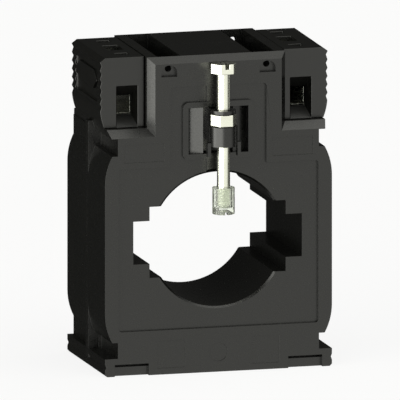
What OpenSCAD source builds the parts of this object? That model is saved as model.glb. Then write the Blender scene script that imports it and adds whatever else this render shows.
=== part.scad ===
// Window-type current transformer in a two-shell moulded case, with two covered
// secondary terminals and a bar clamp screw in front of the window.
// Millimetres. +X right, +Y to the rear, +Z up. The origin lies on the foot's
// underside, below the window's axis, in the plane where the two shells meet.

/* [Window] */
// Diameter of the round part of the window
cable_d = 40.7; // [36:0.1:42]
// Width of the slot for the widest bar
wide_bar_w = 52; // [46:0.5:53]
// Height of the slot for the widest bar
wide_bar_h = 13; // [8:0.5:15]
// Width of the slot for the thick bar
thick_bar_w = 42; // [38:0.5:45]
// Height of the slot for the thick bar
thick_bar_h = 21.5; // [16:0.5:24]
// Thickness of the sleeve round the window
sleeve_t = 1.2; // [0.9:0.1:1.6]
// Chamfer on the rim of the round part
rim_chamfer = 0.6; // [0.3:0.1:0.9]

/* [Case] */
// Depth of the front shell, from the parting plane to the front face
front_d = 20.4; // [18:0.1:24]
// Depth of the rear shell, from the parting plane to the rear face
rear_d = 22.1; // [19:0.1:26]
// Thickness of the outer walls
wall = 1.6; // [1.2:0.1:2]
// Thickness of the base below the core
base_t = 6.6; // [5:0.1:9]
// Height of the notches in the sides, under the ledge
upper_notch_h = 5.2; // [3.5:0.1:7]
// Height of the notches in the sides, over the foot
lower_notch_h = 4.8; // [3.5:0.1:6]
// Depth of the front shell's side notches
front_notch_d = 4; // [2:0.1:4.5]
// Depth of the rear shell's side notches
rear_notch_d = 1.9; // [1:0.1:4]
// Radius of the four shoulders
shoulder_r = 18; // [14:0.5:24]
// How far each shoulder runs along the side
shoulder_rise = 8.7; // [5:0.1:11]
// Thickness of each shell's flange at the parting plane
flange_t = 1.5; // [1:0.1:2.5]
// Width of the snap windows in the front flange
snap_w = 1.4; // [1:0.1:2]
// Distance from the notch's floor to its snap window
snap_in = 0.8; // [0.4:0.1:1]
// Depth of the bevels round the upper front edges
bevel_d = 2.9; // [1.5:0.1:3.5]
// Width of the bevels round the upper front edges
bevel_w = 1.8; // [1:0.1:2.4]

/* [Foot] */
// Height of the foot
foot_h = 5.4; // [4.5:0.1:7]
// Depth of the lengthwise grip grooves in the foot's sides
foot_groove = 0.35; // [0.2:0.05:0.6]
// Distance from the foot's side to each socket
socket_edge = 3; // [2:0.1:5]
// Width of each foot socket
socket_w = 10.5; // [8:0.5:11]
// Height of each foot socket
socket_h = 3.6; // [2.6:0.1:4.2]
// Depth of each foot socket
socket_d = 1.35; // [0.8:0.05:2]
// Height of the deep slot along the top of each socket
socket_slot_h = 0.95; // [0.6:0.05:1.4]
// Depth of the deep slot along the top of each socket
socket_slot_d = 4; // [3:0.5:8]

/* [Face panel] */
// Depth of the recessed panel
panel_d = 1; // [0.5:0.1:1.3]
// Width of the frame left beside the panel
panel_edge = 4.2; // [3.5:0.1:7]
// Height of the frame left below the panel
panel_base = 3.2; // [2:0.1:6]
// How far the panel's shoulder lies below the ledge
panel_drop = 11.7; // [10.8:0.1:13]
// Width of the panel's upper part
panel_neck_w = 29.6; // [24:0.1:34]
// Height of the frame left above the panel
panel_head = 8.9; // [7:0.1:11]
// Radius of the panel's corners
panel_r = 1; // [0.4:0.1:2]
// Depth of the blank marking fields
mark_d = 0.25; // [0.15:0.05:0.4]
// Width of the guide band behind the clamp screw
band_w = 7; // [5:0.1:9]
// Diameter of the round blank mark on the foot
round_mark_d = 5.6; // [4:0.1:6.5]
// Height of the round mark's middle over the foot's top
round_mark_rise = 0.6; // [0:0.1:1.5]
// Distance from the middle to the blank fields on the foot
foot_mark_x = 10.3; // [8:0.1:11]
// Width of the blank fields on the foot
foot_mark_w = 8.5; // [6:0.1:9]
// Margin round the blank fields on the shoulders
mark_edge = 1.9; // [1:0.1:2.4]

/* [Tower] */
// How far the ledge that carries the terminals lies above the core room
ledge_rise = 0.9; // [0.5:0.1:2]
// Thickness of the ledge
ledge_t = 2.4; // [1.8:0.1:3.4]
// Width of the strip between each well and the tower's side
strip_w = 3.3; // [2.6:0.1:4.5]
// Step from the covers' top up to the tower's top
top_step = 0.1; // [0:0.1:0.6]
// Distance from the middle to each seal well
well_x = 11; // [10.5:0.1:11.5]
// Width of each seal well
well_w = 7; // [5:0.1:7.6]
// Depth of each seal well
well_h = 8; // [6:0.5:9]
// Diameter of the seal wire's holes
seal_hole_d = 2; // [1.6:0.1:2.6]
// Width of the seal window
seal_window_w = 4.9; // [4:0.1:5.4]
// Height of the seal window
seal_window_h = 3.5; // [3:0.1:4]
// Depth of the seal window
seal_window_d = 1.6; // [0.8:0.1:2]

/* [Holder pocket] */
// Width of the pocket
pocket_w = 18.4; // [17.6:0.1:19.4]
// How far the pocket's lower edge lies below the ledge
pocket_drop = 8.1; // [7:0.1:8.5]
// Height of the pocket
pocket_h = 14; // [13.7:0.1:15]
// Depth of the pocket
pocket_d = 4.8; // [4.6:0.1:5]
// Width of the pocket's raised rim
pocket_rim = 1.7; // [1.2:0.1:1.9]
// Width of the slot between the pocket's cheeks
cheek_gap = 9.2; // [8:0.1:10]
// Depth of the cheeks' back face
cheek_d = 2.8; // [2.4:0.1:3]
// Distance from the face to the cheeks' front edge
cheek_set = 0.6; // [0.2:0.1:1]
// Thickness of the cheeks where they meet the pocket's sides
cheek_edge_t = 0.4; // [0.3:0.1:1]

/* [Core] */
// Thickness of the wound core, from its bore to its rim
core_t = 2.5; // [2:0.1:6]
// Clearance between the winding and the back of the holder pocket
core_clear = 0.55; // [0.3:0.05:1.5]
// Thickness of the winding on each side of the core
winding_t = 0.9; // [0.6:0.05:1.1]
// Thickness of the tape between the core and the winding
tape_t = 0.2; // [0.1:0.05:0.3]
// Thickness of the ribs that hold the core
core_rib_t = 1.6; // [1:0.1:2.5]
// Diameter of the winding's leads
lead_d = 1.2; // [0.8:0.1:1.4]
// Space beside the terminal bars' legs for the leads
lead_room = 3; // [2:0.1:4]

/* [Terminals] */
// Clear width inside the wire cage
cage_in_w = 5.4; // [5.2:0.1:6]
// Thickness of the cage's sides
cage_t = 0.8; // [0.6:0.1:1]
// Length of the cage along the wire
cage_len = 18; // [14:0.1:18.6]
// Thickness of the cage's floor
cage_floor_t = 1; // [0.8:0.1:1.3]
// Thickness of the cage's tapped top
cage_top_t = 1.2; // [1:0.1:1.6]
// Height of the open wire space
wire_space = 5.9; // [5.3:0.1:6.2]
// Thickness of the terminal bar
bar_t = 1; // [0.8:0.1:1.4]
// Length of the terminal bar
bar_len = 23.4; // [22.6:0.1:23.6]
// Width of the terminal bar's leg
leg_w = 2; // [1.4:0.1:2.1]
// Nominal diameter of the terminal screws' thread
term_screw_d = 4; // [3.5:0.5:4]
// Width of the terminal screws' slots
term_slot_w = 1; // [0.8:0.1:1.3]
// Diameter of the terminal screws' heads
term_head_d = 6; // [5.4:0.1:6.6]
// Height of the terminal screws' heads
term_head_h = 2; // [1.6:0.1:2.6]
// Thickness of the terminal carrier's wall beside the tower
carrier_t = 0.5; // [0.5:0.1:0.9]
// Thickness of the terminal carrier's outer wall
carrier_out_t = 1.6; // [1:0.1:2]
// Thickness of the terminal carrier's floor
carrier_floor_t = 2; // [1.6:0.1:2.6]
// Length of the terminal carrier
carrier_len = 23.8; // [23.8:0.1:24]

/* [Terminal covers] */
// Length of each cover
cover_len = 32; // [30.8:0.1:33]
// Thickness of a cover's end walls, which hold the wire funnels
cover_end_t = 3.8; // [3:0.1:3.9]
// Thickness of a cover's wall beside the tower
cover_in_t = 0.8; // [0.8:0.1:1.2]
// Thickness of a cover's ribbed wall
cover_out_t = 2.8; // [2.4:0.1:3.2]
// Thickness of a cover's top
cover_top_t = 1.6; // [1.3:0.1:2]
// Width of the wire funnel's throat
throat_w = 4.7; // [4.4:0.1:5.2]
// Width of the wire funnel's mouth
mouth_w = 6.6; // [5.6:0.1:7.2]
// How far the cover's top clears the terminal screw
head_room = 0.5; // [0.3:0.1:1]
// How far the mouth rises above the throat
mouth_rise = 3.6; // [2:0.1:4.2]
// Width of the screwdriver opening
driver_w = 4.7; // [4.4:0.1:6]
// Length of the screwdriver opening
driver_len = 7.5; // [6:0.1:9]
// Distance from the screwdriver opening's middle to each dimple
dimple_y = 10.2; // [9:0.1:11]
// Width of the dimples in a cover's top
dimple_w = 4; // [3:0.1:5]
// Length of the dimples in a cover's top
dimple_len = 3; // [2:0.1:4]
// Width of the chamfer along a cover's top edge
edge_w = 1.5; // [0.8:0.1:2]
// Height of the chamfer along a cover's top edge
edge_h = 1.1; // [0.6:0.1:1.2]
// Height over which a cover's side bends in at the bottom
bend_h = 6.6; // [5:0.1:6.8]
// Distance from a cover's top to the first grip rib
rib_top = 1.3; // [1.2:0.1:1.6]
// Number of grip ribs
rib_n = 6; // [4:1:6]
// Pitch of the grip ribs
rib_pitch = 2.5; // [2:0.1:2.5]
// Depth of the grip ribs
rib_d = 0.5; // [0.3:0.05:0.7]
// Length of the ribbed zone at each end
rib_len = 4; // [3:0.1:5]
// Depth of the hollow round the smooth grip pad
pad_hollow_d = 0.8; // [0.5:0.1:1]
// Height of the smooth grip pad
pad_h = 5.8; // [4:0.1:6.4]

/* [Bar clamp] */
// Distance from the face to the clamp screw's axis
clamp_out = 5.6; // [5.2:0.1:7]
// Nominal diameter of the clamp screw's thread
clamp_d = 4; // [3.5:0.5:4]
// Length of the clamp screw under its head
clamp_len = 40.5; // [36:0.5:44]
// How far the clamp screw's head stands over its holder in the drawn position
clamp_lift = 11.1; // [8:0.1:14]
// Width across flats of the clamp screw's head and of its nut
clamp_af = 7; // [6.4:0.1:7]
// Width of the clamp screw's slot
clamp_slot_w = 1.2; // [0.9:0.1:1.5]
// Height of the clamp screw's head
clamp_head_h = 3.1; // [2.4:0.1:4]
// Turn of the head in the drawn position
head_turn = 5; // [0:1:30]
// Thickness of the clamp nut
nut_h = 3.7; // [3.2:0.1:3.8]
// Height of the holder's lower boss over the pocket's lower edge
boss_rise = 3.4; // [3:0.1:3.6]
// Diameter of the holder's lower boss
boss_d = 8.4; // [7.6:0.1:8.8]
// Height of the holder's lower boss
boss_h = 5.9; // [5.2:0.1:6]
// Diameter of the collar over the nut
collar_d = 7.4; // [6.6:0.1:8]
// Thickness of the collar over the nut
collar_h = 1.1; // [0.8:0.1:1.5]
// Clearance between the cap and the holder's tabs
tab_gap = 0.75; // [0.5:0.05:1]
// Width of the holder's tabs
tab_w = 1; // [0.8:0.1:1.4]
// Length of the holder's tabs along the window
tab_len = 1.8; // [1.2:0.1:2.6]
// How far the holder's tabs hang below its boss
tab_drop = 3.2; // [2:0.1:3.4]
// Width of the holder's stem
stem_w = 5.6; // [4:0.1:6]
// Diameter of the insulating cap
cap_d = 6.7; // [6:0.1:7]
// Height of the insulating cap
cap_h = 7.9; // [6:0.1:9]
// How far the cap reaches below the screw's tip
cap_below = 2; // [1:0.1:3]

/* [Hidden] */
$fn = 64;

// Cuts run this far past a face
over = 1;
// Gap between pieces that move or are pushed together
gap = 0.3;
// Side play of flat faces that slide past each other
slide_gap = 0.2;
// Gap between flat faces that nearly touch
close_gap = 0.1;
// Radial clearance of a screw in its thread
thread_gap = 0.05;

// Core: a ring round the sleeve's corners, to the next tenth, which sets the width of the case
function corner_r(w, h) = norm([w + 2 * sleeve_t, h + 2 * sleeve_t]) / 2;
sleeve_r = max(cable_d / 2 + sleeve_t, corner_r(wide_bar_w, wide_bar_h), corner_r(thick_bar_w, thick_bar_h));
winding_ir = ceil(10 * (sleeve_r + close_gap)) / 10;
core_ir = winding_ir + winding_t + tape_t;
core_or = core_ir + core_t;
winding_w = front_d + rear_d - 2 * (pocket_d + wall + core_clear);
winding_or = core_or + tape_t + winding_t;
cavity_r = winding_or + gap;
cavity_inset = panel_d + wall;
case_hw = cavity_r + wall;
mid_y = (rear_d - front_d) / 2;
axis_h = base_t + cavity_r;

// Heights and widths of the case
ledge_z = axis_h + cavity_r + ledge_rise;
ledge_bottom = ledge_z - ledge_t;
block_top = ledge_bottom - upper_notch_h;
block_bottom = foot_h + lower_notch_h;
front_neck_hw = case_hw - front_notch_d;
rear_neck_hw = case_hw - rear_notch_d;
tower_hw = well_x + well_w + strip_w;
panel_hw = case_hw - panel_edge;
panel_bottom = block_bottom + panel_base;
panel_top = ledge_z - panel_drop;
pocket_bottom = ledge_z - pocket_drop;
pocket_top = pocket_bottom + pocket_h;
socket_x = case_hw - socket_edge - socket_w;
snap_x = front_neck_hw + snap_in;

// Terminals: one stack from the ledge up, which sets the height of the case
cage_w = cage_in_w + 2 * cage_t;
cover_x0 = tower_hw + gap;
carrier_x0 = cover_x0 + cover_in_t + slide_gap;
term_x = carrier_x0 + carrier_t + slide_gap + cage_w / 2;
carrier_x1 = term_x + cage_w / 2 + slide_gap + carrier_out_t;
cover_x1 = carrier_x1 + slide_gap + cover_out_t;
cage_z = ledge_z + carrier_floor_t + slide_gap;
wire_z = cage_z + cage_floor_t;
bar_z = wire_z + wire_space;
cage_top_z = bar_z + bar_t + slide_gap;
cage_travel = wire_space - gap;
cage_h = cage_top_z + cage_top_t - cage_z;
term_tip_z = bar_z + bar_t + close_gap;
term_head_z = cage_z + cage_h + cage_travel + close_gap;
carrier_top = term_head_z - head_room;
cover_z0 = ledge_z + close_gap;
cover_z1 = term_head_z + term_head_h + head_room + cover_top_t;
cover_y0 = mid_y - cover_len / 2;
cover_y1 = mid_y + cover_len / 2;
case_h = cover_z1 + top_step;
panel_neck_top = case_h - panel_head;

// Terminal bars: an ear beyond each end of the cage, and a leg down to the winding's lead
bar_w = cage_in_w - 2 * slide_gap;
ear_w = cage_w;
ear_y = cage_len / 2 + gap;
ear_len = bar_len / 2 - ear_y;
leg_x0 = carrier_x0 + gap;
leg_y0 = mid_y - ear_y - leg_w - close_gap;
leg_bottom = axis_h + sqrt(pow(winding_or, 2) - pow(leg_x0, 2)) + 2 * lead_d;
lead_top = ledge_bottom - wall / 2;

// Grip ribs
rib_z1 = cover_z1 - rib_top;
rib_z0 = rib_z1 - rib_n * rib_pitch;

// Bar clamp
clamp_y = -front_d - clamp_out;
boss_z = pocket_bottom + boss_rise;
nut_z = boss_z + boss_h + close_gap;
collar_z = nut_z + nut_h;
head_z = collar_z + collar_h + clamp_lift;
tip_z = head_z - clamp_len;
cap_z = tip_z - cap_below;
tab_x = cap_d / 2 + tab_gap;
tee_d = pocket_d - slide_gap;

// ---------- profile helpers ----------

// Extrudes a profile drawn in X and Z from y0 to y1
module along_y(y0, y1) {
    translate([0, y1, 0]) rotate([90, 0, 0]) linear_extrude(y1 - y0) children();
}

// Extrudes a profile drawn in Y and Z from x0 to x1
module along_x(x0, x1) {
    translate([x0, 0, 0]) rotate([90, 0, 90]) linear_extrude(x1 - x0) children();
}

// Extrudes a profile drawn in X and Y from z0 to z1
module along_z(z0, z1) {
    translate([0, 0, z0]) linear_extrude(z1 - z0) children();
}

// A rectangle between two corners
module rect(x0, x1, z0, z1) {
    translate([x0, z0]) square([x1 - x0, z1 - z0]);
}

// The same with round corners
module round_rect(x0, x1, z0, z1, r) {
    rect(x0 + r, x1 - r, z0, z1);
    rect(x0, x1, z0 + r, z1 - r);
    for (x = [x0 + r, x1 - r], z = [z0 + r, z1 - r]) translate([x, z]) circle(r);
}

// A cut that leaves an arc of radius r tangent to the side at x; up is 1 or -1
module shoulder_cut(x, z_tangent, rise, r, up) {
    difference() {
        rect(x - r, x + over, min(z_tangent, z_tangent + up * rise), max(z_tangent, z_tangent + up * rise));
        translate([x - r, z_tangent]) circle(r, $fn = 128);
    }
}

// Both sides of a shape drawn on the right
module both_sides() {
    children();
    mirror([1, 0, 0]) children();
}

// A shape on one side: -1 left, 1 right
module on_side(side) {
    if (side < 0) mirror([1, 0, 0]) children();
    else children();
}

// A block between two corners
module block(x, y, z) {
    translate([x[0], y[0], z[0]]) cube([x[1] - x[0], y[1] - y[0], z[1] - z[0]]);
}

// ---------- outlines of the case ----------

// The window: a round hole with two bar slots, grown on all sides by grow
module window_2d(grow = 0) {
    translate([0, axis_h]) {
        circle(d = cable_d + 2 * grow, $fn = 128);
        square([wide_bar_w + 2 * grow, wide_bar_h + 2 * grow], center = true);
        square([thick_bar_w + 2 * grow, thick_bar_h + 2 * grow], center = true);
    }
}

// The foot's section, with a chamfer and a grip groove along each side
module foot_2d() {
    side = [[case_hw - 2 * foot_groove, 0], [case_hw, 2 * foot_groove], [case_hw, foot_h * 0.35],
            [case_hw - foot_groove, foot_h * 0.53], [case_hw, foot_h * 0.7], [case_hw, foot_h]];
    polygon(concat(side, [for (i = [len(side) - 1 : -1 : 0]) [-side[i][0], side[i][1]]]));
}

// The wide block with its four shoulders
module block_2d() {
    difference() {
        rect(-case_hw, case_hw, block_bottom, block_top);
        both_sides() {
            shoulder_cut(case_hw, block_top - shoulder_rise, shoulder_rise, shoulder_r, 1);
            shoulder_cut(case_hw, block_bottom + shoulder_rise, shoulder_rise, shoulder_r, -1);
        }
    }
}

// The outline of one shell below the ledge
module lower_2d(neck_hw) {
    foot_2d();
    block_2d();
    rect(-neck_hw, neck_hw, foot_h / 2, ledge_bottom);
}

// The recessed panel: a wide field with a narrower one on top
module panel_2d() {
    round_rect(-panel_hw, panel_hw, panel_bottom, panel_top, panel_r);
    round_rect(-panel_neck_w / 2, panel_neck_w / 2, panel_top - 3 * panel_r, panel_neck_top, panel_r);
}

// The raised rim round the holder pocket
module pocket_rim_2d() {
    round_rect(-pocket_w / 2 - pocket_rim, pocket_w / 2 + pocket_rim,
               pocket_bottom - pocket_rim, pocket_top + pocket_rim, pocket_rim);
}

// ---------- forms that both shells share ----------
// They are drawn for the front shell: the face at -depth, the parting plane at 0.

// The ledge's outer end leans in by its own thickness over three
module ledge_form(depth) {
    ledge_hw = cover_x1 - rib_d - bevel_w / 2;
    intersection() {
        along_x(-case_hw, case_hw)
            polygon([[-depth, ledge_bottom], [-depth, ledge_z - bevel_w * 1.25], [-depth + bevel_d, ledge_z],
                     [0, ledge_z], [0, ledge_bottom]]);
        along_y(-depth, 0)
            polygon([[-ledge_hw + ledge_t / 3, ledge_bottom], [ledge_hw - ledge_t / 3, ledge_bottom],
                     [ledge_hw, ledge_z], [-ledge_hw, ledge_z]]);
    }
}

module tower_form(depth) {
    intersection() {
        along_z(ledge_bottom, case_h)
            polygon([[-tower_hw, 0], [-tower_hw, -depth + bevel_d], [-tower_hw + bevel_w, -depth],
                     [tower_hw - bevel_w, -depth], [tower_hw, -depth + bevel_d], [tower_hw, 0]]);
        along_x(-tower_hw, tower_hw)
            polygon([[-depth, ledge_bottom], [-depth, case_h - bevel_w], [-depth + bevel_d, case_h],
                     [0, case_h], [0, ledge_bottom]]);
    }
}

// The outer form of a shell, solid
module shell_form(depth, neck_hw) {
    along_y(-depth, 0) lower_2d(neck_hw);
    along_y(-flange_t, 0) {
        foot_2d();
        rect(-case_hw, case_hw, foot_h / 2, ledge_z);
    }
    ledge_form(depth);
    tower_form(depth);
}

// The ring-shaped room for the core, less the ribs that hold it
module core_room(depth) {
    rib_end = -(depth - (front_d + rear_d - winding_w) / 2);
    difference() {
        along_y(-depth + cavity_inset, over) difference() {
            translate([0, axis_h]) circle(cavity_r, $fn = 128);
            window_2d(sleeve_t);
        }
        translate([0, 0, axis_h])
            for (a = [30 : 60 : 330])
                rotate([0, a, 0])
                    block([winding_ir - core_rib_t, case_hw], [-depth, rib_end - close_gap],
                          [-core_rib_t / 2, core_rib_t / 2]);
    }
}

// The closed rooms inside the tower, beside and between the wells
module tower_rooms(depth) {
    room_y = -depth + pocket_d + 2 * wall;
    room_z = max(ledge_z, axis_h + cavity_r + wall);
    block([-well_x + wall, well_x - wall], [room_y, over], [room_z, case_h - wall]);
    both_sides()
        block([well_x + wall / 2, tower_hw - wall], [room_y, over], [room_z, case_h - well_h - wall]);
}

// The two wells beside the centre plate, open at the top
module wells(depth) {
    both_sides()
        block([well_x, well_x + well_w], [-depth + bevel_d, over], [case_h - well_h, case_h + over]);
}

// A seal window with a round top and a wire hole through to the well
module seal_windows(depth) {
    r = seal_window_w / 2;
    x = well_x + well_w - r - 2 * slide_gap;
    top = case_h - bevel_w - 2 * slide_gap;
    both_sides() translate([x, 0, 0]) {
        along_y(-depth - over, -depth + seal_window_d) intersection() {
            union() {
                translate([0, top - r]) circle(r);
                rect(-r, r, top - seal_window_h, top - r);
            }
            rect(-r, r, top - seal_window_h, top);
        }
        along_y(-depth - over, -depth + bevel_d + over)
            translate([0, top - seal_hole_d / 2 - slide_gap]) circle(d = seal_hole_d, $fn = 32);
    }
}

// The sockets along the foot's edge, each with a deeper slot at its top
module foot_sockets(depth) {
    both_sides() {
        block([socket_x, socket_x + socket_w], [-depth - over, -depth + socket_d], [-over, socket_h]);
        block([socket_x, socket_x + socket_w], [-depth - over, -depth + socket_slot_d],
              [socket_h - socket_slot_h, socket_h]);
    }
}

// Everything cut from both shells alike
module shared_cuts(depth) {
    along_y(-depth - over, over) window_2d();
    translate([0, -depth + panel_d + rim_chamfer, axis_h]) rotate([90, 0, 0])
        cylinder(d1 = cable_d, d2 = cable_d + 2 * (rim_chamfer + over), h = rim_chamfer + over, $fn = 128);
    core_room(depth);
    tower_rooms(depth);
    wells(depth);
    seal_windows(depth);
    foot_sockets(depth);
}

// ---------- case ----------

// The blank fields where a maker prints the terminal letters
module marking_fields() {
    y = [-front_d - over, -front_d + mark_d];
    both_sides() {
        block([panel_neck_w / 2 + mark_edge, front_neck_hw - mark_edge], y,
              [panel_top + mark_edge, ledge_bottom - mark_edge]);
        block([foot_mark_x, foot_mark_x + foot_mark_w], y, [mark_edge, block_bottom]);
    }
    along_y(y[0], y[1]) translate([0, foot_h + round_mark_rise]) circle(d = round_mark_d);
}

// The pocket's two slanted cheeks, which trap the nut holder's tee
module cheeks() {
    x0 = cheek_gap / 2;
    x1 = pocket_w / 2;
    both_sides()
        along_z(pocket_bottom, pocket_top)
            polygon([[x0, -front_d + cheek_set], [x1, -front_d + cheek_d - cheek_edge_t],
                     [x1, -front_d + cheek_d], [x0, -front_d + cheek_d]]);
}

// The panel with the pocket's rim and the screw's guide band left standing
module front_panel_cut() {
    along_y(-front_d - over, -front_d + panel_d) difference() {
        panel_2d();
        pocket_rim_2d();
        rect(-band_w / 2, band_w / 2, axis_h, case_h);
    }
    along_y(-front_d - over, -front_d + panel_d / 2) difference() {
        intersection() {
            panel_2d();
            rect(-band_w / 2, band_w / 2, axis_h, case_h);
        }
        pocket_rim_2d();
    }
}

// The rooms under the ledge where the leads meet the terminal bars' legs
module lead_rooms() {
    x1 = leg_x0 + bar_t + lead_room;
    both_sides() {
        block([leg_x0 - 2 * lead_d, x1], [leg_y0 - lead_room, over],
              [axis_h + sqrt(pow(cavity_r, 2) - pow(x1, 2)) - over, lead_top + gap]);
        block([leg_x0 - slide_gap, leg_x0 + bar_t + slide_gap],
              [leg_y0 - slide_gap, leg_y0 + leg_w + slide_gap], [lead_top, ledge_z + over]);
    }
}

// Snap windows in the front flange, at the lower notches
module snap_windows() {
    both_sides()
        block([snap_x, snap_x + snap_w], [-flange_t - over, over], [foot_h, block_bottom]);
}

// The hooks of the rear shell, which fill the snap windows with a little play
module snap_hooks() {
    both_sides()
        block([snap_x + close_gap, snap_x + snap_w - close_gap], [-flange_t / 2, flange_t / 2],
              [foot_h + close_gap, block_bottom - close_gap]);
}

module front_shell() color([0.16, 0.17, 0.15]) {
    difference() {
        shell_form(front_d, front_neck_hw);
        difference() {
            shared_cuts(front_d);
            block([-pocket_w / 2 - pocket_rim, pocket_w / 2 + pocket_rim],
                  [-front_d + panel_d, -front_d + pocket_d + wall],
                  [pocket_bottom - pocket_rim, pocket_top + pocket_rim]);
        }
        front_panel_cut();
        block([-pocket_w / 2, pocket_w / 2], [-front_d - over, -front_d + pocket_d],
              [pocket_bottom, pocket_top]);
        marking_fields();
        lead_rooms();
        snap_windows();
    }
    cheeks();
}

module rear_shell() color([0.17, 0.17, 0.15]) {
    mirror([0, 1, 0]) difference() {
        shell_form(rear_d, rear_neck_hw);
        shared_cuts(rear_d);
        along_y(-rear_d - over, -rear_d + panel_d) panel_2d();
    }
    snap_hooks();
}

// ---------- core and winding ----------

// A ring about the window's axis: radii r0 to r1, width w
module ring(r0, r1, w) {
    translate([0, mid_y + w / 2, axis_h]) rotate([90, 0, 0]) difference() {
        cylinder(r = r1, h = w, $fn = 128);
        translate([0, 0, -over]) cylinder(r = r0, h = w + 2 * over, $fn = 128);
    }
}

module core() color([0.55, 0.56, 0.58])
    ring(core_ir, core_or, winding_w - 2 * (winding_t + tape_t));

module core_tape() color([0.9, 0.85, 0.55]) difference() {
    ring(core_ir - tape_t, core_or + tape_t, winding_w - 2 * winding_t);
    ring(core_ir, core_or, winding_w - 2 * (winding_t + tape_t));
}

module secondary_winding() color([0.72, 0.4, 0.2]) difference() {
    ring(winding_ir, winding_or, winding_w);
    ring(winding_ir + winding_t, winding_or - winding_t, winding_w - 2 * winding_t);
}

// A lead runs from the winding up along the terminal bar's leg
module winding_lead(side) color([0.75, 0.1, 0.08]) on_side(side) {
    x = leg_x0 - lead_d / 2;
    z = axis_h + sqrt(pow(winding_or, 2) - pow(x - lead_d / 2, 2)) + close_gap;
    translate([x, leg_y0 + leg_w / 2, z]) cylinder(d = lead_d, h = lead_top - z, $fn = 24);
}

module winding_lead_left() winding_lead(-1);
module winding_lead_right() winding_lead(1);

// ---------- terminals ----------

// The moulded seat of one terminal: it guides the cage and carries the bar
module terminal_carrier(side) color([0.22, 0.22, 0.21]) on_side(side) difference() {
    block([carrier_x0, carrier_x1], [mid_y - carrier_len / 2, mid_y + carrier_len / 2],
          [ledge_z, carrier_top]);
    block([term_x - cage_w / 2 - slide_gap, term_x + cage_w / 2 + slide_gap],
          [mid_y - cage_len / 2 - slide_gap, mid_y + cage_len / 2 + slide_gap],
          [ledge_z + carrier_floor_t, carrier_top + over]);
    block([term_x - cage_in_w / 2, term_x + cage_in_w / 2],
          [mid_y - carrier_len, mid_y + carrier_len], [wire_z, carrier_top + over]);
    block([term_x - ear_w / 2 - close_gap, term_x + ear_w / 2 + close_gap],
          [mid_y - bar_len / 2 - close_gap, mid_y + bar_len / 2 + close_gap], [bar_z, carrier_top + over]);
    block([carrier_x0 - over, leg_x0 + bar_t + close_gap],
          [leg_y0 - close_gap, leg_y0 + leg_w + close_gap], [ledge_z - over, bar_z + bar_t + close_gap]);
}

module terminal_carrier_left() terminal_carrier(-1);
module terminal_carrier_right() terminal_carrier(1);

// The bar that the cage clamps the wire against, with its leg to the winding
module terminal_bar(side) color([0.8, 0.78, 0.7]) on_side(side) {
    block([term_x - bar_w / 2, term_x + bar_w / 2], [mid_y - bar_len / 2, mid_y + bar_len / 2],
          [bar_z, bar_z + bar_t]);
    for (y = [mid_y - ear_y - ear_len, mid_y + ear_y])
        block([term_x - ear_w / 2, term_x + ear_w / 2], [y, y + ear_len], [bar_z, bar_z + bar_t]);
    block([leg_x0, term_x], [leg_y0, leg_y0 + leg_w], [bar_z, bar_z + bar_t]);
    block([leg_x0, leg_x0 + bar_t], [leg_y0, leg_y0 + leg_w], [leg_bottom, bar_z + bar_t]);
}

module terminal_bar_left() terminal_bar(-1);
module terminal_bar_right() terminal_bar(1);

// The bent cage that lifts the wire against the bar
module terminal_cage(side) color([0.82, 0.82, 0.8]) on_side(side)
    translate([term_x, mid_y, 0]) difference() {
        block([-cage_w / 2, cage_w / 2], [-cage_len / 2, cage_len / 2], [cage_z, cage_z + cage_h]);
        block([-cage_in_w / 2, cage_in_w / 2], [-cage_len, cage_len], [wire_z, cage_top_z]);
        translate([0, 0, cage_top_z - over])
            cylinder(d = term_screw_d, h = cage_top_t + 2 * over);
    }

module terminal_cage_left() terminal_cage(-1);
module terminal_cage_right() terminal_cage(1);

// A cheese-head screw that stands on the bar and turns in the cage's top
module terminal_screw(side) color([0.8, 0.8, 0.78]) on_side(side)
    translate([term_x, mid_y, 0]) {
        translate([0, 0, term_tip_z])
            cylinder(d = term_screw_d - 2 * thread_gap, h = term_head_z - term_tip_z + term_head_h / 4);
        difference() {
            translate([0, 0, term_head_z]) cylinder(d = term_head_d, h = term_head_h);
            block([-term_head_d, term_head_d], [-term_slot_w / 2, term_slot_w / 2],
                  [term_head_z + term_head_h / 2, term_head_z + term_head_h + over]);
        }
    }

module terminal_screw_left() terminal_screw(-1);
module terminal_screw_right() terminal_screw(1);

// ---------- terminal covers ----------

// The grooves between the grip ribs, each with a steep upper and a long lower flank
module rib_grooves_2d(list) {
    for (i = list) {
        z = rib_z1 - i * rib_pitch;
        polygon([[cover_x1 + over, z], [cover_x1, z], [cover_x1 - rib_d, z - rib_pitch * 0.4],
                 [cover_x1, z - rib_pitch], [cover_x1 + over, z - rib_pitch]]);
    }
}

// A cover's outer section: chamfered top corner, bent-in lower edge
module cover_2d() {
    difference() {
        rect(cover_x0, cover_x1, cover_z0, cover_z1);
        shoulder_cut(cover_x1, cover_z0 + bend_h, bend_h, shoulder_r, -1);
        polygon([[cover_x1 - edge_w, cover_z1 + over], [cover_x1 - edge_w, cover_z1],
                 [cover_x1, cover_z1 - edge_h], [cover_x1 + over, cover_z1 - edge_h],
                 [cover_x1 + over, cover_z1 + over]]);
    }
}

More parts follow.
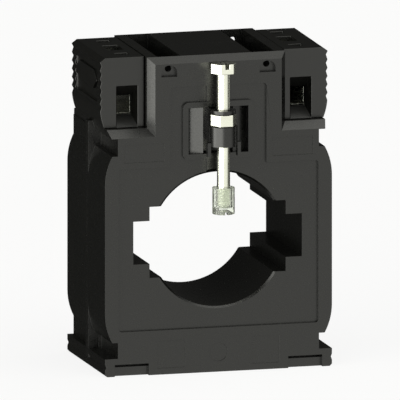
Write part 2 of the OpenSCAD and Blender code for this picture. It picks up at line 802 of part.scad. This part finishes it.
// A wire funnel through a cover's front wall; its mouth is open at the bottom
module wire_funnel() {
    y = [cover_y0 - over, cover_y0, cover_y0 + cover_end_t, cover_y0 + cover_end_t + over];
    r0 = mouth_w / 2;
    r1 = throat_w / 2;
    top = bar_z + mouth_rise;
    intersection() {
        along_z(cover_z0 - over, top)
            translate([term_x, 0])
                polygon([[-r0, y[0]], [-r0, y[1]], [-r1, y[2]], [-r1, y[3]],
                         [r1, y[3]], [r1, y[2]], [r0, y[1]], [r0, y[0]]]);
        along_x(term_x - r0, term_x + r0)
            polygon([[y[0], cover_z0 - over], [y[1], cover_z0 - over], [y[1], cover_z0], [y[2], wire_z],
                     [y[3], wire_z], [y[3], bar_z], [y[2], bar_z], [y[1], top], [y[0], top]]);
    }
}

// The smooth hollow between the ribbed ends, with an arrow-shaped pad left standing
module grip_hollow() {
    z1 = rib_z1 - rib_pitch;
    z0 = rib_z0 + rib_pitch;
    pad_z1 = z1 - pad_hollow_d;
    pad_z0 = max(pad_z1 - pad_h, z0 + slide_gap);
    point = pad_h * 0.75;
    y0 = cover_y0 + rib_len;
    y1 = cover_y1 - rib_len;
    difference() {
        block([cover_x1 - pad_hollow_d, cover_x1 + over], [y0, y1], [z0, z1]);
        along_x(cover_x1 - 2 * pad_hollow_d, cover_x1)
            polygon([[y0 + gap, (pad_z0 + pad_z1) / 2], [y0 + point, pad_z1], [y1 - point, pad_z1],
                     [y1 - gap, (pad_z0 + pad_z1) / 2], [y1 - point, pad_z0], [y0 + point, pad_z0]]);
    }
}

// A ribbed cover that pulls off upward
module terminal_cover(side) color([0.2, 0.2, 0.19]) on_side(side) difference() {
    along_y(cover_y0, cover_y1) cover_2d();
    block([cover_x0 + cover_in_t, cover_x1 - cover_out_t],
          [cover_y0 + cover_end_t, cover_y1 - cover_end_t], [cover_z0 - over, cover_z1 - cover_top_t]);
    along_y(cover_y0 - over, cover_y0 + rib_len) rib_grooves_2d([0 : rib_n - 1]);
    along_y(cover_y1 - rib_len, cover_y1 + over) rib_grooves_2d([0 : rib_n - 1]);
    along_y(cover_y0, cover_y1) rib_grooves_2d([0, rib_n - 1]);
    grip_hollow();
    wire_funnel();
    translate([0, 2 * mid_y, 0]) mirror([0, 1, 0]) wire_funnel();
    block([term_x - driver_w / 2, term_x + driver_w / 2], [mid_y - driver_len / 2, mid_y + driver_len / 2],
          [cover_z1 - cover_top_t - over, cover_z1 + over]);
    for (y = [mid_y - dimple_y, mid_y + dimple_y])
        block([term_x - dimple_w / 2, term_x + dimple_w / 2], [y - dimple_len / 2, y + dimple_len / 2],
              [cover_z1 - cover_top_t / 2, cover_z1 + over]);
}

module terminal_cover_left() terminal_cover(-1);
module terminal_cover_right() terminal_cover(1);

// ---------- bar clamp ----------

// A tee that sits behind the pocket's cheeks and reaches forward to hold the nut
module nut_holder() color([0.13, 0.13, 0.12]) {
    top = min(pocket_top - gap, collar_z + collar_h);
    stem = [-stem_w / 2, stem_w / 2];
    difference() {
        union() {
            translate([0, clamp_y, boss_z]) cylinder(d = boss_d, h = boss_h);
            translate([0, clamp_y, collar_z]) cylinder(d = collar_d, h = collar_h);
            block(stem, [clamp_y, -front_d + tee_d], [boss_z, boss_z + boss_h]);
            block(stem, [clamp_y, -front_d + tee_d], [collar_z, top]);
            block(stem, [clamp_y + clamp_af / 2 + close_gap, -front_d + tee_d], [boss_z, top]);
            block([-pocket_w / 2 + gap, pocket_w / 2 - gap],
                  [-front_d + cheek_d + close_gap, -front_d + tee_d],
                  [pocket_bottom + gap, pocket_top - gap]);
            both_sides() {
                block([tab_x, tab_x + tab_w], [clamp_y - tab_len / 2, clamp_y + tab_len / 2],
                      [boss_z - tab_drop, boss_z + tab_w]);
                block([clamp_d, tab_x + tab_w], [clamp_y - tab_len / 2, clamp_y + tab_len / 2],
                      [boss_z, boss_z + tab_w]);
            }
        }
        translate([0, clamp_y, boss_z - over])
            cylinder(d = clamp_d + 2 * gap, h = boss_h + nut_h + collar_h + 3 * over);
    }
}

// A hexagonal prism across flats af with one flat to the front, then turned
module hex_prism(af, h, turn) {
    rotate([0, 0, turn]) cylinder(d = af * 2 / sqrt(3), h = h, $fn = 6);
}

module clamp_nut() color([0.8, 0.8, 0.76]) translate([0, clamp_y, nut_z]) difference() {
    hex_prism(clamp_af, nut_h - close_gap, 0);
    translate([0, 0, -over]) cylinder(d = clamp_d, h = nut_h + 2 * over);
}

// A slotted hexagon-head screw with a chamfered tip
module clamp_screw() color([0.8, 0.8, 0.76]) translate([0, clamp_y, tip_z]) {
    d = clamp_d - 2 * thread_gap;
    chamfer = d / 6;
    cylinder(d1 = d - 2 * chamfer, d2 = d, h = chamfer);
    translate([0, 0, chamfer]) cylinder(d = d, h = clamp_len - chamfer + clamp_head_h / 4);
    translate([0, 0, clamp_len]) rotate([0, 0, head_turn]) difference() {
        hex_prism(clamp_af, clamp_head_h, 0);
        block([-clamp_slot_w / 2, clamp_slot_w / 2], [-clamp_af, clamp_af],
              [clamp_head_h / 2, clamp_head_h + over]);
    }
}

// The clear insulating cap on the screw's tip, with a countersunk and notched mouth
module clamp_cap() color([0.75, 0.8, 0.72, 0.5]) translate([0, clamp_y, cap_z]) difference() {
    sink = cap_below * 0.6;
    cylinder(d = cap_d, h = cap_h);
    translate([0, 0, cap_below - close_gap]) cylinder(d = clamp_d, h = cap_h);
    translate([0, 0, -sink]) cylinder(d1 = clamp_d * 1.5, d2 = clamp_d / 2, h = 2 * sink);
    block([-slide_gap * 2, slide_gap * 2], [-cap_d, 0], [-over, cap_below * 0.4]);
}

front_shell();
rear_shell();
core();
core_tape();
secondary_winding();
winding_lead_left();
winding_lead_right();
terminal_carrier_left();
terminal_carrier_right();
terminal_bar_left();
terminal_bar_right();
terminal_cage_left();
terminal_cage_right();
terminal_screw_left();
terminal_screw_right();
terminal_cover_left();
terminal_cover_right();
nut_holder();
clamp_nut();
clamp_screw();
clamp_cap();
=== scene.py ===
import math

import bpy
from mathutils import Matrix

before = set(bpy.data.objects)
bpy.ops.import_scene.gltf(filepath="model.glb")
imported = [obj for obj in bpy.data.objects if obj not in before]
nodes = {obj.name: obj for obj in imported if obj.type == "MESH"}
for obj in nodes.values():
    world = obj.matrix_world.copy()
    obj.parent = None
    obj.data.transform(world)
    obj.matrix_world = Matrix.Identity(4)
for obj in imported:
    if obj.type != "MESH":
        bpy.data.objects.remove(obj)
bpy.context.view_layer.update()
MM = 0.001

# ---------- front shell ----------
# The front half of the case: a deep moulding in black glass-filled plastic, with a stepped
# window, a sunk face panel and a pocket for the nut holder. It snaps onto the rear half.

SAME_CORNER = 0.002 * MM  # corners nearer than this are one
SAME_FACE = math.radians(0.6)  # faces that turn less than this are one
SHARP_EDGE = math.radians(28)  # edges that turn more than this get a radius
RADIUS_STEPS = 2
CASE_RADIUS = 0.22 * MM
PATTERN_LOW, PATTERN_HIGH = 0.3, 0.7  # most of a noise pattern lies between these


def select_only(piece):
    bpy.ops.object.select_all(action="DESELECT")
    piece.select_set(True)
    bpy.context.view_layer.objects.active = piece


def round_edges(piece, radius):
    """Gives a moulded or pressed piece the small radius that its tool leaves on every edge."""
    weld = piece.modifiers.new("join faces", "WELD")
    weld.merge_threshold = SAME_CORNER
    flat = piece.modifiers.new("whole faces", "DECIMATE")
    flat.decimate_type = "DISSOLVE"
    flat.angle_limit = SAME_FACE
    bevel = piece.modifiers.new("edge radius", "BEVEL")
    bevel.width = radius
    bevel.segments = RADIUS_STEPS
    bevel.limit_method = "ANGLE"
    bevel.angle_limit = SHARP_EDGE
    bevel.use_clamp_overlap = True
    bevel.miter_outer = "MITER_ARC"
    even = piece.modifiers.new("even shading", "WEIGHTED_NORMAL")
    even.keep_sharp = True
    select_only(piece)
    bpy.ops.object.shade_smooth()


def noise(tree, place, scale, detail, x, y):
    """A noise pattern fixed to the piece's own coordinates."""
    node = tree.nodes.new("ShaderNodeTexNoise")
    node.location = (x, y)
    node.inputs["Scale"].default_value = scale
    node.inputs["Detail"].default_value = detail
    tree.links.new(place, node.inputs["Vector"])
    return node.outputs["Fac"]


def spread(tree, value, low, high, x, y):
    """Turns a 0 to 1 pattern into values from low to high."""
    node = tree.nodes.new("ShaderNodeMapRange")
    node.location = (x, y)
    node.inputs["From Min"].default_value = PATTERN_LOW
    node.inputs["From Max"].default_value = PATTERN_HIGH
    node.inputs["To Min"].default_value = low
    node.inputs["To Max"].default_value = high
    tree.links.new(value, node.inputs["Value"])
    return node.outputs["Result"]


def tint(tree, value, dark, light, x, y):
    """Blends two colours by a 0 to 1 pattern."""
    node = tree.nodes.new("ShaderNodeMix")
    node.data_type = "RGBA"
    node.location = (x, y)
    node.inputs["A"].default_value = (*dark, 1)
    node.inputs["B"].default_value = (*light, 1)
    tree.links.new(value, node.inputs["Factor"])
    return node.outputs["Result"]


def new_material(name):
    """An empty material with its shader, and the piece's own coordinates to build on."""
    material = bpy.data.materials.new(name)
    material.use_nodes = True
    tree = material.node_tree
    shader = tree.nodes["Principled BSDF"]
    place = tree.nodes.new("ShaderNodeTexCoord")
    place.location = (-1100, 0)
    return material, tree, shader, place.outputs["Object"]


def grain_bump(tree, shader, height, distance):
    """Raises a pattern by a distance, in the shading only."""
    bump = tree.nodes.new("ShaderNodeBump")
    bump.location = (-250, -300)
    bump.inputs["Distance"].default_value = distance
    bump.inputs["Strength"].default_value = 1
    tree.links.new(height, bump.inputs["Height"])
    tree.links.new(bump.outputs["Normal"], shader.inputs["Normal"])


def moulded_plastic(name, dark, light, smooth, dull):
    """A moulding compound: a spark-eroded grain, faint flow clouds and uneven gloss."""
    material, tree, shader, place = new_material(name)
    clouds = noise(tree, place, 45, 3, -800, 300)
    specks = noise(tree, place, 1800, 2, -800, 50)
    grain = noise(tree, place, 3600, 3, -800, -250)
    colour = tint(tree, clouds, dark, light, -450, 300)
    gloss = spread(tree, specks, smooth, dull, -450, 50)
    tree.links.new(colour, shader.inputs["Base Color"])
    tree.links.new(gloss, shader.inputs["Roughness"])
    grain_bump(tree, shader, grain, 0.006 * MM)
    shader.inputs["Specular IOR Level"].default_value = 0.5
    return material


def finish(piece, material):
    piece.data.materials.clear()
    piece.data.materials.append(material)


SOOT = (0.0025, 0.0026, 0.0022)
CHARCOAL = (0.0035, 0.0036, 0.003)
case_black = moulded_plastic("case_black", SOOT, CHARCOAL, 0.26, 0.33)
front_shell = nodes["front_shell"]
round_edges(front_shell, CASE_RADIUS)
finish(front_shell, case_black)

# ---------- rear shell ----------
# The rear half, in the same compound. Its flange meets the front half's flange along the
# middle of the sides, and its hooks sit in the front half's snap windows.

rear_shell = nodes["rear_shell"]
round_edges(rear_shell, CASE_RADIUS)
finish(rear_shell, case_black)

# ---------- terminal covers ----------
# Two ribbed caps that pull off upward, moulded in a slightly duller black. Wire funnels
# open in both ends, and a screwdriver slot in the top.

cover_black = moulded_plastic("cover_black", SOOT, CHARCOAL, 0.28, 0.35)
for side in ("left", "right"):
    cover = nodes["terminal_cover_" + side]
    round_edges(cover, 0.14 * MM)
    finish(cover, cover_black)

# ---------- terminal carriers ----------
# The moulded seats inside the covers, which guide the wire cages and hold the bars.
# They are of the covers' own compound.

for side in ("left", "right"):
    carrier = nodes["terminal_carrier_" + side]
    round_edges(carrier, 0.12 * MM)
    finish(carrier, cover_black)

# ---------- nut holder ----------
# A tee-shaped moulding that slides down behind the pocket's cheeks. It is pressed in
# by hand, and its boss and collar keep the clamp nut from turning.

INK = (0.002, 0.002, 0.0018)
COAL = (0.003, 0.003, 0.0027)
holder_black = moulded_plastic("holder_black", INK, COAL, 0.24, 0.3)
round_edges(nodes["nut_holder"], 0.15 * MM)
finish(nodes["nut_holder"], holder_black)

# ---------- terminal cages and screws ----------
# Bent steel cages and cheese-head screws, zinc plated and cleared, a little yellow-green,
# with fine drawing marks from the press.

DRAWN = (1, 1, 9)  # the marks lie across Z, where the pattern is the most squeezed


def plated_metal(name, dark, light, smooth, dull):
    """Bright plating over drawn metal: fine marks along one way, and a cloudy tint."""
    material, tree, shader, place = new_material(name)
    along = tree.nodes.new("ShaderNodeMapping")
    along.location = (-900, -200)
    along.inputs["Scale"].default_value = DRAWN
    tree.links.new(place, along.inputs["Vector"])
    clouds = noise(tree, place, 160, 3, -700, 300)
    marks = noise(tree, along.outputs["Vector"], 420, 4, -700, 0)
    colour = tint(tree, clouds, dark, light, -450, 300)
    gloss = spread(tree, marks, smooth, dull, -450, 50)
    tree.links.new(colour, shader.inputs["Base Color"])
    tree.links.new(gloss, shader.inputs["Roughness"])
    grain_bump(tree, shader, marks, 0.004 * MM)
    shader.inputs["Metallic"].default_value = 1
    return material


zinc = plated_metal("zinc", (0.62, 0.63, 0.55), (0.8, 0.81, 0.72), 0.22, 0.34)
for side in ("left", "right"):
    cage = nodes["terminal_cage_" + side]
    round_edges(cage, 0.18 * MM)
    finish(cage, zinc)
    screw = nodes["terminal_screw_" + side]
    round_edges(screw, 0.12 * MM)
    finish(screw, zinc)

# ---------- terminal bars ----------
# Stamped brass, tinned. The cage clamps the wire against the bar, and the bar's leg goes
# down to the winding's lead.

tinned = plated_metal("tinned", (0.6, 0.58, 0.5), (0.74, 0.72, 0.64), 0.3, 0.44)
for side in ("left", "right"):
    bar = nodes["terminal_bar_" + side]
    round_edges(bar, 0.1 * MM)
    finish(bar, tinned)

# ---------- clamp nut ----------
# A hexagon nut, zinc plated. It is held between the holder's boss and its collar, so it
# stands still while the screw turns in it.

round_edges(nodes["clamp_nut"], 0.3 * MM)
finish(nodes["clamp_nut"], zinc)

# ---------- clamp screw ----------
# An M4 set screw with a slotted hexagon head, zinc plated. It presses a bar or cable
# against the window's floor, through the clear cap on its tip.

round_edges(nodes["clamp_screw"], 0.2 * MM)
finish(nodes["clamp_screw"], zinc)

# ---------- clear cap ----------
# A cap of clear plastic, pushed onto the screw's tip so that the metal never touches
# a live bar.

clear, _, clear_shader, _ = new_material("clear")
clear_shader.inputs["Base Color"].default_value = (0.86, 0.9, 0.8, 1)
clear_shader.inputs["Roughness"].default_value = 0.08
clear_shader.inputs["IOR"].default_value = 1.45
clear_shader.inputs["Transmission Weight"].default_value = 0.9
round_edges(nodes["clamp_cap"], 0.2 * MM)
finish(nodes["clamp_cap"], clear)

# ---------- core, tape and winding ----------
# A ring wound from electrical steel strip, wrapped in tape, and covered all round by
# the secondary winding of enamelled copper wire. Red sleeves cover its two leads.

core_steel = plated_metal("core_steel", (0.3, 0.31, 0.33), (0.45, 0.46, 0.48), 0.35, 0.5)
tape = moulded_plastic("tape", (0.6, 0.5, 0.22), (0.72, 0.62, 0.3), 0.5, 0.6)
copper = plated_metal("copper", (0.5, 0.2, 0.08), (0.66, 0.3, 0.14), 0.25, 0.35)
sleeve_red = moulded_plastic("sleeve_red", (0.4, 0.02, 0.015), (0.52, 0.04, 0.03), 0.4, 0.5)
finish(nodes["core"], core_steel)
finish(nodes["core_tape"], tape)
finish(nodes["secondary_winding"], copper)
for side in ("left", "right"):
    finish(nodes["winding_lead_" + side], sleeve_red)

# ---------- floor, light and camera ----------
# A pale floor that reads as white, a dark room with soft boxes at the left, in front and
# above, and a camera that looks slightly down from the left.

FLOOR_SIZE = 8
FLOOR_GAP = 0.02 * MM  # keeps the floor clear of the foot's face
FLOOR_GLOW = 0.85

bpy.ops.mesh.primitive_plane_add(size=FLOOR_SIZE, location=(0, 0, -FLOOR_GAP))
floor = bpy.context.object
floor.name = "floor"
floor.visible_glossy = False

paper, paper_tree, paper_shader, _ = new_material("floor_paper")
paper_shader.inputs["Base Color"].default_value = (0.8, 0.8, 0.8, 1)
paper_shader.inputs["Roughness"].default_value = 0.9
glow = paper_tree.nodes.new("ShaderNodeEmission")
glow.inputs["Color"].default_value = (1, 1, 1, 1)
glow.inputs["Strength"].default_value = 1
ray = paper_tree.nodes.new("ShaderNodeLightPath")
seen = paper_tree.nodes.new("ShaderNodeMath")
seen.operation = "MAXIMUM"
paper_tree.links.new(ray.outputs["Is Camera Ray"], seen.inputs[0])
paper_tree.links.new(ray.outputs["Is Transmission Ray"], seen.inputs[1])
share = paper_tree.nodes.new("ShaderNodeMath")
share.operation = "MULTIPLY"
share.inputs[1].default_value = FLOOR_GLOW
paper_tree.links.new(seen.outputs["Value"], share.inputs[0])
mix = paper_tree.nodes.new("ShaderNodeMixShader")
paper_tree.links.new(share.outputs["Value"], mix.inputs["Fac"])
paper_tree.links.new(paper_shader.outputs["BSDF"], mix.inputs[1])
paper_tree.links.new(glow.outputs["Emission"], mix.inputs[2])
paper_output = paper_tree.nodes["Material Output"]
paper_tree.links.new(mix.outputs["Shader"], paper_output.inputs["Surface"])
finish(floor, paper)

world = bpy.data.worlds.new("studio")
world.use_nodes = True
room = world.node_tree
sky = room.nodes["Background"]
direction = room.nodes.new("ShaderNodeTexCoord").outputs["Generated"]


def soft_box(turn, height, inner, outer, strength):
    """A round soft light far away: its place as seen from the part, its size and its strength."""
    turn, height = math.radians(turn), math.radians(height)
    toward = room.nodes.new("ShaderNodeVectorMath")
    toward.operation = "DOT_PRODUCT"
    toward.inputs[1].default_value = (
        math.sin(turn) * math.cos(height),
        -math.cos(turn) * math.cos(height),
        math.sin(height),
    )
    room.links.new(direction, toward.inputs[0])
    edge = room.nodes.new("ShaderNodeMapRange")
    edge.interpolation_type = "SMOOTHSTEP"
    edge.inputs["From Min"].default_value = math.cos(math.radians(outer))
    edge.inputs["From Max"].default_value = math.cos(math.radians(inner))
    edge.inputs["To Max"].default_value = strength
    room.links.new(toward.outputs["Value"], edge.inputs["Value"])
    return edge.outputs["Result"]


soft_boxes = [
    soft_box(0, 90, inner=150, outer=180, strength=0.03),  # the room itself
    soft_box(-62, -5, inner=30, outer=52, strength=4.4),  # at the left
    soft_box(18, -5, inner=22, outer=62, strength=1.2),  # in front
    soft_box(45, 70, inner=10, outer=45, strength=2.2),  # above
    soft_box(-100, 0, inner=8, outer=24, strength=1.5),  # a small one at the far left
    soft_box(120, -5, inner=10, outer=30, strength=0.8),  # behind, at the right
]
total = soft_boxes[0]
for light in soft_boxes[1:]:
    add = room.nodes.new("ShaderNodeMath")
    add.operation = "ADD"
    room.links.new(total, add.inputs[0])
    room.links.new(light, add.inputs[1])
    total = add.outputs["Value"]
room.links.new(total, sky.inputs["Strength"])
sky.inputs["Color"].default_value = (1, 1, 0.94, 1)
bpy.context.scene.world = world

camera_turn = math.radians(-15.34)
camera_height = math.radians(10.84)
camera_distance = 1.2
look_at = (-5.72 * MM, -20.4 * MM, 52.28 * MM)
back = (
    math.sin(camera_turn) * math.cos(camera_height),
    -math.cos(camera_turn) * math.cos(camera_height),
    math.sin(camera_height),
)
bpy.ops.object.camera_add(
    location=[a + camera_distance * b for a, b in zip(look_at, back)],
    rotation=(math.pi / 2 - camera_height, 0, camera_turn),
)
camera = bpy.context.object
camera.data.type = "ORTHO"
camera.data.ortho_scale = 119 * MM
bpy.context.scene.camera = camera
bpy.context.scene.view_settings.view_transform = "Standard"

bpy.ops.object.select_all(action="DESELECT")
